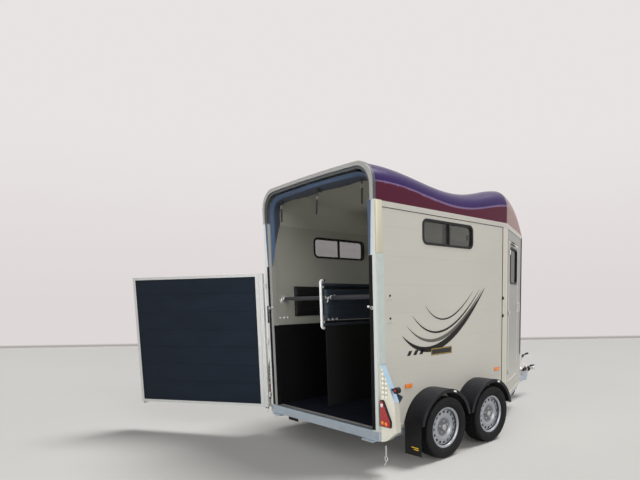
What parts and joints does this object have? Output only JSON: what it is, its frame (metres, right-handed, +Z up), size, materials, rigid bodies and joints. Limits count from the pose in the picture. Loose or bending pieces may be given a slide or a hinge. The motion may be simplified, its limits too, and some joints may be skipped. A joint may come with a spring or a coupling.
{
  "type": "horse trailer",
  "caption": "Tandem-axle horse trailer with a purple roof, hinged rear door, groom door, padded stalls and a V drawbar on a jockey wheel.",
  "frame": {"origin": "centre of the tow ball in the coupling head", "axes": "+X forward along the drawbar, +Y to the left, +Z up; the ground is 400 mm below the origin"},
  "size_m": [5.1689, 3.5016, 2.782],
  "materials": {
    "galvanised": "hot-dip galvanised, spangled",
    "zinc": "zinc plated, satin",
    "anodised": "satin anodised",
    "wall_paint": "champagne silver, satin",
    "roof_purple": "deep purple gel coat, glossy",
    "rim_trim": "grey edge trim",
    "floor_board": "dark non-slip board",
    "black_lining": "ribbed black lining",
    "door_board": "very dark navy board",
    "black_plastic": "black moulded",
    "black_rubber": "black rubber",
    "tyre": "road tyre",
    "rim_silver": "silver wheel paint",
    "tinted_glass": "smoked acrylic",
    "lamp_red": "red and amber lens",
    "amber": "amber reflector",
    "pad_vinyl": "dark blue vinyl over foam",
    "curtain_fabric": "navy tarpaulin cloth",
    "chock_plastic": "dark blue plastic"
  },
  "bodies": {
    "trailer": {"axles": "galvanised", "bar_brackets": "galvanised", "bellows": "black_rubber", "chassis_frame": "galvanised", "corner_wall_left": "wall_paint", "corner_wall_right": "wall_paint", "coupling_handle": "black_plastic", "coupling_head": "zinc", "coupling_housing": "zinc", "curtain": "curtain_fabric", "drawbar": "galvanised", "floor_board": "floor_board", "front_wall": "wall_paint", "groom_hinge_lugs": "anodised", "handbrake_lever": "zinc", "jockey_crank": "zinc", "jockey_tube": "zinc", "kick_lining": "black_lining", "lamp_brackets": "galvanised", "marker_lamps": "black_rubber", "mud_flaps": "black_rubber", "mudguards": "black_plastic", "padded_bars": "pad_vinyl", "partition_frame": "galvanised", "partition_pad": "pad_vinyl", "partition_skirt": "black_rubber", "rear_lamps": "lamp_red", "rear_posts": "anodised", "rear_sill": "galvanised", "top_rail": "anodised", "base_rail": "anodised", "corner_trims": "anodised", "roof_rim": "rim_trim", "roof_shell": "roof_purple", "side_reflectors": "amber", "side_wall_left": "wall_paint", "side_wall_right": "wall_paint", "side_window_frames": "black_plastic", "side_window_panes": "tinted_glass", "wall_pads": "pad_vinyl", "wheel_chock": "chock_plastic"},
    "wheel_rear_left": {"tyre_rear_left": "tyre", "rim_rear_left": "rim_silver"},
    "wheel_rear_right": {"tyre_rear_right": "tyre", "rim_rear_right": "rim_silver"},
    "wheel_front_left": {"tyre_front_left": "tyre", "rim_front_left": "rim_silver"},
    "wheel_front_right": {"tyre_front_right": "tyre", "rim_front_right": "rim_silver"},
    "jockey_fork": {"jockey_fork": "zinc"},
    "jockey_wheel": {"jockey_wheel": "black_rubber"},
    "rear_door": {"rear_door_frame": "anodised", "rear_door_panel": "door_board"},
    "groom_door": {"groom_door_frame": "anodised", "groom_door_panel": "wall_paint", "groom_window_frame": "black_plastic", "groom_window_pane": "tinted_glass", "groom_door_handle": "black_plastic"}
  },
  "joints": [
    {"name": "wheel_rear_left_spin", "type": "hinge", "parent": "trailer", "child": "wheel_rear_left", "pos_m": [-3.522, 1, -0.102], "axis": [0, 1, 0], "continuous": true},
    {"name": "wheel_rear_right_spin", "type": "hinge", "parent": "trailer", "child": "wheel_rear_right", "pos_m": [-3.522, -1, -0.102], "axis": [0, 1, 0], "continuous": true},
    {"name": "wheel_front_left_spin", "type": "hinge", "parent": "trailer", "child": "wheel_front_left", "pos_m": [-2.773, 1, -0.102], "axis": [0, 1, 0], "continuous": true},
    {"name": "wheel_front_right_spin", "type": "hinge", "parent": "trailer", "child": "wheel_front_right", "pos_m": [-2.773, -1, -0.102], "axis": [0, 1, 0], "continuous": true},
    {"name": "jockey_swivel", "type": "hinge", "parent": "trailer", "child": "jockey_fork", "pos_m": [-0.4, 0.128, -0.1], "axis": [0, 0, 1], "continuous": true},
    {"name": "jockey_roll", "type": "hinge", "parent": "jockey_fork", "child": "jockey_wheel", "pos_m": [-0.435, 0.128, -0.3], "axis": [0, 1, 0], "continuous": true},
    {"name": "rear_door_hinge", "type": "hinge", "parent": "trailer", "child": "rear_door", "pos_m": [-4.252, 0.885, 0.69], "axis": [0, 0, 1], "range_deg": [-30, 150]},
    {"name": "groom_door_hinge", "type": "hinge", "parent": "trailer", "child": "groom_door", "pos_m": [-2.00402, -0.8073, 0.945], "axis": [0, 0, -1], "range_deg": [0, 150]}
  ]
}
